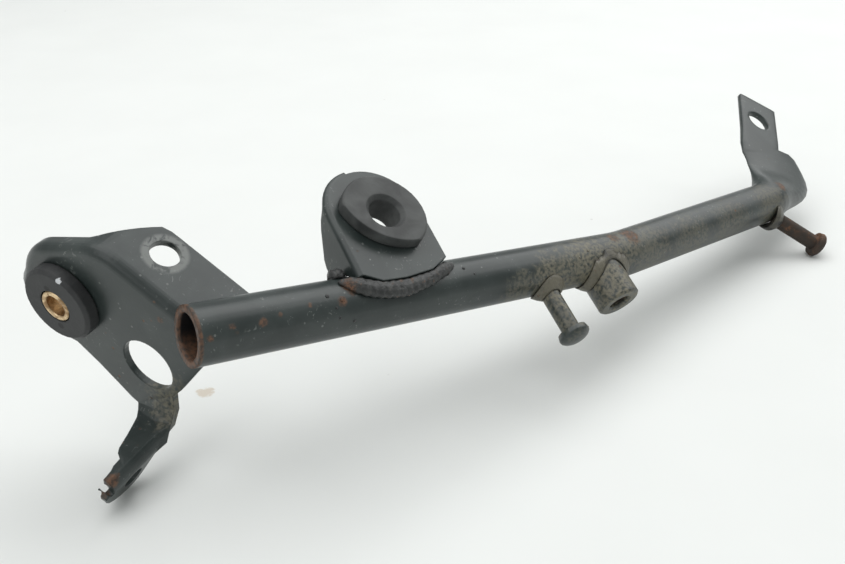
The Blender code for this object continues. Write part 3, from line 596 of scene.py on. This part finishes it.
@dataclass(frozen=True)
class RubberFinish:
    """Matt black rubber with faint dust, shallow moulding relief, painted shade as near-black spots at
    dimples, and one white paint fleck.
    """

    name: str = "dusty_rubber"
    base: Colour = (0.020, 0.021, 0.022)
    dust: Colour = (0.062, 0.064, 0.064)
    dust_band: Band = (0.30, 0.75)
    dust_share: float = 0.4
    cloud: Pattern = Pattern(7.0, 5.0, 0.5)
    grain: Pattern = Pattern(0.8, 4.0)
    fleck: Point = (-19.3, 33.2, -18.2)
    fleck_colour: Colour = (0.62, 0.64, 0.66)
    fleck_reach: Band = (0.85, 0.60)
    fleck_sway: float = 1.6
    # The near-black spots at the dimples are painted shade, standing in for the shade inside small holes.
    dimple_shade_spots: tuple[Point, ...] = ()
    dimple_shade_colour: Colour = (0.004, 0.004, 0.004)
    dimple_reach: Band = (1.15, 0.80)
    roughness: float = 0.62
    roughness_spread: float = 0.2
    relief: float = 0.08
    grain_height: float = 0.6
    cloud_height: float = 0.5
    rounding: float = 0.7

    def build(self) -> bpy.types.Material:
        """Builds the material.

        Returns:
            The material.
        """
        net = Net(self.name)
        cloud, grain = net.noise(self.cloud), net.noise(self.grain)
        colour = net.blend(cloud.step(self.dust_band) * self.dust_share, self.base, self.dust)
        fleck = (net.away(place(self.fleck)) + grain.sway(self.fleck_sway)).step(self.fleck_reach)
        colour = net.blend(fleck, colour, self.fleck_colour)
        # Painted shade: near-black spots at the dimples.
        for dimple in self.dimple_shade_spots:
            colour = net.blend(net.away(place(dimple)).step(self.dimple_reach), colour, self.dimple_shade_colour)
        rough = cloud.around(self.roughness, self.roughness_spread)
        height = grain * self.grain_height + cloud * self.cloud_height
        return net.finish(colour, rough, height, self.relief, self.rounding)


@dataclass(frozen=True)
class PlatingFinish:
    """The spacer sleeve's brass-coloured plating, with tarnish."""

    name: str = "spacer_plating"
    base: Colour = (0.72, 0.55, 0.34)
    tarnish: Colour = (0.34, 0.22, 0.12)
    tarnish_band: Band = (0.42, 0.66)
    cloud: Pattern = Pattern(2.2, 5.0, 0.6)
    grain: Pattern = Pattern(0.4, 3.0)
    roughness: float = 0.43
    roughness_spread: float = 0.3
    relief: float = 0.03
    rounding: float = 0.4
    metallic: float = 1.0

    def build(self) -> bpy.types.Material:
        """Builds the material.

        Returns:
            The material.
        """
        net = Net(self.name)
        cloud = net.noise(self.cloud)
        colour = net.blend(cloud.step(self.tarnish_band), self.base, self.tarnish)
        rough = cloud.around(self.roughness, self.roughness_spread)
        return net.finish(colour, rough, net.noise(self.grain), self.relief, self.rounding, self.metallic)


@dataclass(frozen=True)
class RustFinish:
    """Dark rusted steel with an orange bloom, for the rear stud and the boss's thread."""

    name: str = "rusted_stud"
    base: Colour = (0.034, 0.026, 0.020)
    base_band: Band = (0.38, 0.70)
    cloud: Pattern = Pattern(3.0, 6.0, 0.8)
    grain: Pattern = Pattern(0.7, 4.0)
    bloom: Mark = Mark((266.0, -10.5, 3.0), 5.2, 0.9)
    bloom_band: Band = (0.30, 0.60)
    spot_band: Band = (0.60, 0.74)
    spot_share: float = 0.7
    roughness: float = 0.72
    roughness_spread: float = 0.2
    relief: float = 0.18
    cloud_height: float = 0.5
    grain_height: float = 0.7
    rounding: float = 0.6
    metallic: float = 0.15

    def build(self) -> bpy.types.Material:
        """Builds the material.

        Returns:
            The material.
        """
        net = Net(self.name)
        cloud, grain = net.noise(self.cloud), net.noise(self.grain)
        colour = net.blend(cloud.step(self.base_band), self.base, DARK_RUST)
        bloom = net.patches([self.bloom], cloud) * grain.step(self.bloom_band)
        colour = net.blend(bloom.either(cloud.step(self.spot_band) * self.spot_share), colour, RUST)
        rough = cloud.around(self.roughness, self.roughness_spread)
        height = cloud * self.cloud_height + grain * self.grain_height
        return net.finish(colour, rough, height, self.relief, self.rounding, self.metallic)


@dataclass(frozen=True)
class WeldFinish:
    """Painted weld bead: rough relief, faded crests, grime, and rust on its lumps."""

    name: str = "painted_weld_bead"
    base: Colour = (0.022, 0.023, 0.023)
    faded: Colour = (0.045, 0.047, 0.046)
    fade_band: Band = (0.35, 0.70)
    rust_band: Band = (0.40, 0.60)
    lumps: Pattern = Pattern(1.8, 5.0, 0.5)
    grain: Pattern = Pattern(0.5, 3.0)
    lump_rust_band: Band = (0.60, 0.72)
    lump_rust: float = 0.55
    grime_share: float = 0.8
    roughness: float = 0.42
    roughness_spread: float = 0.2
    rust_roughness: float = 0.3
    relief: float = 0.35
    grain_height: float = 0.35
    rounding: float = 0.8

    def build(self) -> bpy.types.Material:
        """Builds the material.

        Returns:
            The material.
        """
        net = Net(self.name)
        lumps, grain, ragged = net.noise(self.lumps), net.noise(self.grain), net.noise(RAGGED)
        rust = net.patches(RUST_MARKS, ragged).either(lumps.step(self.lump_rust_band) * self.lump_rust)
        grime = net.patches(GRIME_MARKS, ragged)
        colour = net.blend(lumps.step(self.fade_band), self.base, self.faded)
        colour = net.blend(grime * self.grime_share, colour, GRIME)
        colour = net.blend(rust, colour, net.blend(grain.step(self.rust_band), DARK_RUST, RUST))
        rough = lumps.around(self.roughness, self.roughness_spread) + rust * self.rust_roughness
        height = lumps + grain * self.grain_height
        return net.finish(colour, rough, height, self.relief, self.rounding)


class Finish(Enum):
    """The named finishes that pieces can take."""

    PAINT = PaintFinish()
    TUBE_PAINT = TubePaintFinish()
    SIDE_RUBBER = RubberFinish(dimple_shade_spots=((-20.8, 35.2, -24.4), (-17.4, 29.5, -34.7)))
    EAR_RUBBER = RubberFinish(
        name="greyed_rubber",
        base=(0.030, 0.032, 0.032),
        dust=(0.085, 0.09, 0.088),
        dust_share=0.9,
    )
    PLATING = PlatingFinish()
    RUSTED = RustFinish()
    WELD = WeldFinish()


class Paintbox:
    """Builds each finish once and hands out its material."""

    def __init__(self) -> None:
        """Starts with no finish built."""
        self.made: dict[Finish, bpy.types.Material] = {}

    def get(self, finish: Finish) -> bpy.types.Material:
        """The material of a finish.

        Args:
            finish: the finish.

        Returns:
            Its material.
        """
        if finish not in self.made:
            self.made[finish] = finish.value.build()
        return self.made[finish]


def add_object(name: str, data: Any) -> bpy.types.Object:
    """Makes an object of a mesh, a lamp or a camera and links it to the scene.

    Args:
        name: the object's name.
        data: what it holds.

    Returns:
        The object, at the origin.
    """
    made = bpy.data.objects.new(name, data)
    bpy.context.scene.collection.objects.link(made)
    return made


def closed_mesh(name: str, points: np.ndarray, blocks: Sequence[np.ndarray]) -> bpy.types.Object:
    """Makes an object at the origin from a closed surface, with its faces turned outwards.

    The signed volume tells which way the faces look. Each face is a fan of triangles from its first corner,
    and the volume is a sixth of the sum of their triple products: the first corner's dot product with the
    cross product of the second and the third. Only its sign is used, so the sum isn't divided.

    Args:
        name: the object's name.
        points: its points in the row frame, in metres.
        blocks: its faces, one array for each number of corners, a row for each face.

    Returns:
        The object.
    """
    volume = 0.0
    for block in blocks:
        for k in range(1, block.shape[1] - 1):
            first, second, third = points[block[:, 0]], points[block[:, k]], points[block[:, k + 1]]
            volume += float(np.sum(first * np.cross(second, third)))
    order = -1 if volume < 0.0 else 1
    faces = [face for block in blocks for face in block[:, ::order].tolist()]
    mesh = bpy.data.meshes.new(name)
    mesh.from_pydata(points.tolist(), [], faces)
    mesh.shade_smooth()
    return add_object(name, mesh)


def walls(grid: np.ndarray, beside: np.ndarray) -> np.ndarray:
    """Four-cornered faces between two grids of point numbers.

    Args:
        grid: point numbers, a row for each line of points.
        beside: the point numbers next to them, in the same layout.

    Returns:
        The faces: each spans one step along the rows, from the one grid to the other.
    """
    return np.stack([grid[:, :-1], grid[:, 1:], beside[:, 1:], beside[:, :-1]], axis=-1).reshape(-1, 4)


@dataclass
class SubAssembly:
    """Frame nodes that share a place on the bracket, and the finish of each."""

    title: str
    finishes: dict[str, Finish]

    def build(self, nodes: dict[str, bpy.types.Object], paints: Paintbox) -> None:
        """Gives each node its finish.

        Args:
            nodes: the frame's nodes by name.
            paints: where materials come from.
        """
        for name, finish in self.finishes.items():
            mesh = nodes[name].data
            mesh.materials.clear()
            mesh.materials.append(paints.get(finish))
            LOG.info("%s: %s in %s", self.title, name, finish.name.lower())


@dataclass
class TubeGroup(SubAssembly):
    """The bent tube."""

    title: str = "tube"
    finishes: dict[str, Finish] = field(default_factory=lambda: {"main_tube": Finish.TUBE_PAINT})


@dataclass
class SidePlateGroup(SubAssembly):
    """The folded side plate with its grommet, sleeve and seam."""

    title: str = "side plate"
    finishes: dict[str, Finish] = field(
        default_factory=lambda: {
            "side_plate": Finish.PAINT,
            "side_grommet": Finish.SIDE_RUBBER,
            "grommet_sleeve": Finish.PLATING,
            "plate_weld": Finish.WELD,
        }
    )


@dataclass
class EarGroup(SubAssembly):
    """The folded ear with its thick grommet and its two seams."""

    title: str = "ear"
    finishes: dict[str, Finish] = field(
        default_factory=lambda: {
            "ear_bracket": Finish.PAINT,
            "ear_grommet": Finish.EAR_RUBBER,
            "ear_weld": Finish.WELD,
            "flange_weld": Finish.WELD,
        }
    )


@dataclass
class StudGroup(SubAssembly):
    """The hook studs and the boss with their ring beads."""

    title: str = "studs and boss"
    finishes: dict[str, Finish] = field(
        default_factory=lambda: {
            "front_hook_stud": Finish.PAINT,
            "rear_hook_stud": Finish.RUSTED,
            "threaded_boss": Finish.PAINT,
            "front_stud_weld": Finish.WELD,
            "rear_stud_weld": Finish.WELD,
            "boss_weld": Finish.WELD,
        }
    )


@dataclass
class BossThread:
    """Thread inside the boss: a V ridge on a helix round the bore's axis, which runs along -Y.

    A point is seat + (radius * cos t, -(depth + shift), radius * sin t), and depth grows by one pitch for
    each full turn of t. The profile's three corners are two roots at the wall and one crest nearer the axis.
    """

    seat: Point = (142.8, -TUBE_RADIUS, 0.0)
    first_depth: float = 1.7
    last_depth: float = 8.3
    pitch: float = 1.25
    wall: float = 3.36
    crest: float = 2.98
    half_width: float = 0.42
    steps: int = 40

    def build(self, paints: Paintbox) -> bpy.types.Object:
        """Makes the thread.

        Args:
            paints: where materials come from.

        Returns:
            The object.
        """
        turns = (self.last_depth - self.first_depth) / self.pitch
        angles = np.linspace(0.0, math.tau * turns, int(self.steps * turns))
        depth = self.first_depth + self.pitch * angles / math.tau
        radius = np.array([[self.wall], [self.crest], [self.wall]])
        shift = np.array([[-self.half_width], [0.0], [self.half_width]])
        rows = np.stack([radius * np.cos(angles), -(depth + shift), radius * np.sin(angles)], axis=-1)
        points = place_all(rows.reshape(-1, 3) + np.array(self.seat))
        grid = np.arange(len(points)).reshape(3, -1)
        ends = np.array([grid[:, 0], grid[::-1, -1]])
        made = closed_mesh("boss_thread", points, [walls(grid, np.roll(grid, -1, axis=0)), ends])
        made.data.materials.append(paints.get(Finish.RUSTED))
        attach(made, "root")
        LOG.info("boss thread: %.1f turns of %.2f mm", turns, self.pitch)
        return made


@dataclass
class WeldSpatter:
    """Small drops of weld on the tube near its seams.

    Each drop is an ellipsoid, flattened along the tube's normal. With b its latitude and a its longitude, a
    point is centre + (axis * cos b cos a + tangent * cos b sin a + normal * flatness * sin b) * size. A drop
    is given by its centre's place along the tube in mm, the angle round the tube in degrees and its size in
    mm. The centre lies just inside the tube's surface.
    """

    drops: Sequence[tuple[float, float, float]] = (
        (36.5, 92.0, 0.55),
        (38.2, 118.0, 0.42),
        (40.4, 104.0, 0.70),
        (39.0, 138.0, 0.38),
        (43.5, 150.0, 0.45),
        (83.2, 84.0, 0.50),
        (86.0, 101.0, 0.36),
        (107.5, 142.0, 0.45),
        (110.0, 158.0, 0.60),
        (124.6, 150.0, 0.42),
        (126.4, 120.0, 0.34),
        (131.2, 128.0, 0.60),
        (129.3, 108.0, 0.40),
        (134.0, 96.0, 0.46),
    )
    flatness: float = 0.6
    sink: float = 0.04
    around: int = 12
    rings: int = 7

    def ball(self) -> np.ndarray:
        """Points of one drop of size one: a pole, the rings, and the other pole.

        Returns:
            The points, a row for each, along the axis, the tangent and the normal.
        """
        latitudes = np.linspace(-math.pi / 2, math.pi / 2, self.rings + 2)[1:-1]
        longitudes = np.arange(self.around) * math.tau / self.around
        b, a = np.meshgrid(latitudes, longitudes, indexing="ij")
        belt = np.stack([np.cos(b) * np.cos(a), np.cos(b) * np.sin(a), self.flatness * np.sin(b)], axis=-1)
        pole = np.array([[0.0, 0.0, self.flatness]])
        return np.concatenate([-pole, belt.reshape(-1, 3), pole])

    def ball_faces(self) -> list[np.ndarray]:
        """Faces of one drop: a fan at each pole and walls between the rings.

        Returns:
            The triangles and the four-cornered faces, as point numbers.
        """
        last = self.rings * self.around + 1
        rings = np.arange(1, last).reshape(self.rings, self.around)
        rings = np.concatenate([rings, rings[:, :1]], axis=1)
        foot = np.stack([np.zeros(self.around, dtype=int), rings[0, 1:], rings[0, :-1]], axis=1)
        crown = np.stack([np.full(self.around, last), rings[-1, :-1], rings[-1, 1:]], axis=1)
        return [np.concatenate([foot, crown]), walls(rings[:-1], rings[1:])]

    def build(self, paints: Paintbox) -> bpy.types.Object:
        """Makes all drops as one piece.

        Args:
            paints: where materials come from.

        Returns:
            The object.
        """
        along, degrees, size = np.array(self.drops).T
        angle, zero = np.radians(degrees), np.zeros_like(along)
        axis = np.stack([zero + 1.0, zero, zero], axis=1)
        tangent = np.stack([zero, -np.sin(angle), np.cos(angle)], axis=1)
        normal = np.stack([zero, np.cos(angle), np.sin(angle)], axis=1)
        centre = axis * along[:, None] + normal * (TUBE_RADIUS - self.sink)
        ball = self.ball()
        points = centre[:, None] + size[:, None, None] * (ball @ np.stack([axis, tangent, normal], axis=1))
        starts = np.arange(len(self.drops))[:, None, None] * len(ball)
        blocks = [(starts + block).reshape(-1, block.shape[1]) for block in self.ball_faces()]
        made = closed_mesh("weld_spatter", place_all(points.reshape(-1, 3)), blocks)
        made.data.materials.append(paints.get(Finish.WELD))
        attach(made, "root")
        LOG.info("weld spatter: %d drops", len(self.drops))
        return made


@dataclass(frozen=True)
class TableFinish:
    """Pale matt table with faint mottling, a few specks and one tan smudge, placed in the row frame."""

    name: str = "pale_table"
    base: Colour = (0.80, 0.815, 0.80)
    mottle: float = 0.94
    cloud: Pattern = Pattern(60.0, 3.0)
    specks: Spots = Spots(38.0, (0.028, 0.014), Pattern(30.0), (0.48, 0.54))
    speck_colour: Colour = (0.25, 0.24, 0.22)
    speck_share: float = 0.35
    smudge: Colour = (0.55, 0.45, 0.33)
    smudge_at: Point = (-0.1195, 0.0313, 0.0)
    smudge_reach: Band = (3.2, 1.8)
    smudge_edge: Pattern = Pattern(2.0, 4.0)
    smudge_sway: float = 4.0
    smudge_share: float = 0.6
    roughness: float = 0.9
    relief: float = 0.02

    def build(self) -> bpy.types.Material:
        """Builds the material.

        Returns:
            The material.
        """
        net = Net(self.name)
        cloud = net.noise(self.cloud)
        reach = net.away(self.smudge_at) + net.noise(self.smudge_edge).sway(self.smudge_sway)
        colour = net.blend(cloud, self.base, tuple(self.mottle * part for part in self.base))
        colour = net.blend(net.spots(self.specks) * self.speck_share, colour, self.speck_colour)
        colour = net.blend(reach.step(self.smudge_reach) * self.smudge_share, colour, self.smudge)
        return net.finish(colour, self.roughness, cloud, self.relief)


@dataclass(frozen=True)
class Lamp:
    """A rectangular lamp that faces the origin: its place and its two sides in metres, its power in watts."""

    name: str
    at: Point
    size: tuple[float, float]
    power: float

    def build(self) -> None:
        """Adds the lamp to the scene."""
        data = bpy.data.lights.new(self.name, "AREA")
        data.shape = "RECTANGLE"
        data.size, data.size_y = self.size
        data.energy = self.power
        lamp = add_object(self.name, data)
        lamp.location = self.at
        lamp.rotation_euler = (-Vector(self.at)).to_track_quat("-Z", "Y").to_euler()


@dataclass
class Studio:
    """Pale table, soft light from above and two sides, and the camera at the photograph's angle."""

    table_half: float = 3.0
    table_gap: float = 0.02 * MM
    sky: Colour = (0.97, 1.0, 0.985)
    sky_strength: float = 0.42
    backdrop: Colour = (0.84, 0.86, 0.85)
    lamps: Sequence[Lamp] = (
        Lamp("softbox", (-0.05, 0.25, 1.1), (1.6, 1.2), 9.5),
        Lamp("window", (1.05, 0.05, 0.95), (1.5, 1.1), 9.0),
        Lamp("side_fill", (-1.1, -0.1, 0.75), (0.7, 0.9), 2.375),
    )

    def build(self) -> None:
        """Builds the table, the world, the lamps and the camera."""
        self.build_table()
        self.build_world()
        for lamp in self.lamps:
            lamp.build()
            LOG.info("studio: %s lamp", lamp.name)
        self.build_camera()
        LOG.info("studio: table, world and camera")

    def build_table(self) -> None:
        """A flat table just under the part."""
        half, low = self.table_half, -self.table_gap
        places = [(-half, -half, low), (half, -half, low), (half, half, low), (-half, half, low)]
        mesh = bpy.data.meshes.new("table")
        mesh.from_pydata(places, [], [(0, 1, 2, 3)])
        mesh.materials.append(TableFinish().build())
        table = add_object("table", mesh)

    def build_world(self) -> None:
        """A dim sky that looks pale to the camera."""
        world = bpy.data.worlds.new("room")
        room = NodeTree(world)
        sky = room.tree.nodes["Background"]
        room.feed(sky.inputs["Color"], self.sky)
        room.feed(sky.inputs["Strength"], self.sky_strength)
        backdrop = room.node("ShaderNodeBackground", {"Color": self.backdrop})
        rays = room.node("ShaderNodeLightPath", {})
        inputs = {0: rays.outputs["Is Camera Ray"], 1: sky.outputs[0], 2: backdrop.outputs[0]}
        choice = room.node("ShaderNodeMixShader", inputs)
        room.feed(room.tree.nodes["World Output"].inputs["Surface"], choice.outputs[0])
        bpy.context.scene.world = world

    def build_camera(self) -> None:
        """The camera, from the photograph's measured place, turn and focal length."""
        data = bpy.data.cameras.new("camera")
        data.lens = CAMERA_LENS
        data.sensor_width = SENSOR_WIDTH
        data.clip_start = CLIP_START
        camera = add_object("camera", data)
        axes = Matrix((turn(CAMERA_RIGHT), turn(-CAMERA_DOWN), turn(-CAMERA_FORWARD)))
        matrix = axes.transposed().to_4x4()
        matrix.translation = place(CAMERA_PLACE)
        camera.matrix_world = matrix
        bpy.context.scene.camera = camera


def main() -> None:
    """Builds the finishes, the added details and the studio in order."""
    bpy.context.scene.view_settings.view_transform = "Standard"
    paints = Paintbox()
    for group in (TubeGroup(), SidePlateGroup(), EarGroup(), StudGroup()):
        group.build(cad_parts, paints)
    BossThread().build(paints)
    WeldSpatter().build(paints)
    Studio().build()


if __name__ == "__main__":
    main()
